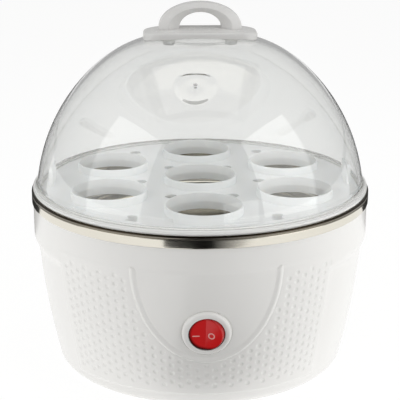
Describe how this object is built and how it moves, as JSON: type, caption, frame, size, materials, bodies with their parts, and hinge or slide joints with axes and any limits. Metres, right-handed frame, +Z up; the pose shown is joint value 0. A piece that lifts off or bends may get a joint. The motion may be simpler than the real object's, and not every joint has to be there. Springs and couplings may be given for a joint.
{
  "type": "electric egg cooker",
  "caption": "Electric egg cooker: clear domed lid with loop handle, egg rack, steel heating dish and white base with a round red rocker switch.",
  "frame": {"origin": "on the table under the middle of the round base", "axes": "+Z up along the axis of the base and lid, the switch on the front faces -Y, +X to the viewer's right"},
  "size_m": [0.17, 0.17, 0.1822],
  "materials": {
    "clear_lid": "clear moulded lid plastic, polished inside and out",
    "white_plastic": "white moulded plastic, satin gloss",
    "rack_plastic": "natural white moulded plastic",
    "stainless": "drawn stainless sheet, polished rim",
    "aluminium": "cast and rolled aluminium, plain",
    "steel": "zinc plated steel",
    "element_sheath": "annealed steel tube, dark",
    "brass": "plain brass, tinned where it is spliced",
    "rubber": "black rubber",
    "silicone": "white silicone rubber",
    "ceramic": "unglazed steatite",
    "black_plastic": "black phenolic moulding",
    "red_plastic": "deep red translucent moulding, glossy",
    "grey_plastic": "grey moulded insulator",
    "sleeve_fabric": "woven glass sleeving",
    "wire_brown": "brown wire insulation",
    "wire_blue": "blue wire insulation",
    "wire_green": "green and yellow wire insulation",
    "wire_white": "white glass-braid wire insulation"
  },
  "bodies": {
    "base": {"base_shell": "white_plastic", "bottom_cover": "white_plastic", "bottom_cover_screws": "steel", "feet": "rubber", "cord_gland": "rubber", "gland_nut": "black_plastic", "heating_dish": "stainless", "dish_seal": "silicone", "dish_studs": "steel", "dish_washers": "steel", "dish_nuts": "steel", "earth_tag": "brass", "heat_spreader": "aluminium", "heating_element": "element_sheath", "element_insulators": "ceramic", "element_pins": "steel", "element_clamps": "steel", "clamp_studs": "steel", "clamp_nuts": "steel", "thermostat_cap": "aluminium", "thermostat_body": "black_plastic", "thermostat_terminals": "brass", "thermostat_screws": "steel", "thermal_fuse": "aluminium", "fuse_sleeve": "sleeve_fabric", "fuse_clip": "steel", "fuse_clip_screw": "steel", "terminal_block": "grey_plastic", "terminal_screws": "brass", "switch_housing": "white_plastic", "switch_terminals": "brass", "connector_boots": "grey_plastic", "wire_live": "wire_brown", "wire_switched": "wire_brown", "wire_element": "wire_white", "wire_fuse": "wire_white", "wire_neutral": "wire_blue", "wire_earth": "wire_green"},
    "egg_rack": {"egg_rack": "rack_plastic"},
    "lid": {"lid_dome": "clear_lid", "lid_handle": "white_plastic", "lid_handle_washers": "silicone", "lid_handle_screws": "steel"},
    "switch_rocker": {"switch_rocker": "red_plastic", "switch_plunger": "black_plastic", "switch_spring": "steel"},
    "switch_bridge": {"switch_bridge": "brass"}
  },
  "joints": [
    {"name": "rack_lift", "type": "slide", "parent": "base", "child": "egg_rack", "axis": [0, 0, 1], "range_m": [0, 0.12]},
    {"name": "lid_lift", "type": "slide", "parent": "egg_rack", "child": "lid", "axis": [0, 0, 1], "range_m": [0, 0.15]},
    {"name": "rocker_tilt", "type": "hinge", "parent": "base", "child": "switch_rocker", "pos_m": [0, -0.07862, 0.04219], "axis": [0, -0.1568, 0.9876], "range_deg": [0, 18]},
    {"name": "bridge_roll", "type": "hinge", "parent": "base", "child": "switch_bridge", "pos_m": [0, -0.07032, 0.04351], "axis": [0, -0.1568, 0.9876], "range_deg": [-17, 1]}
  ],
  "couplings": [
    {"joint": "bridge_roll", "follows": "rocker_tilt", "ratio": -0.8}
  ]
}
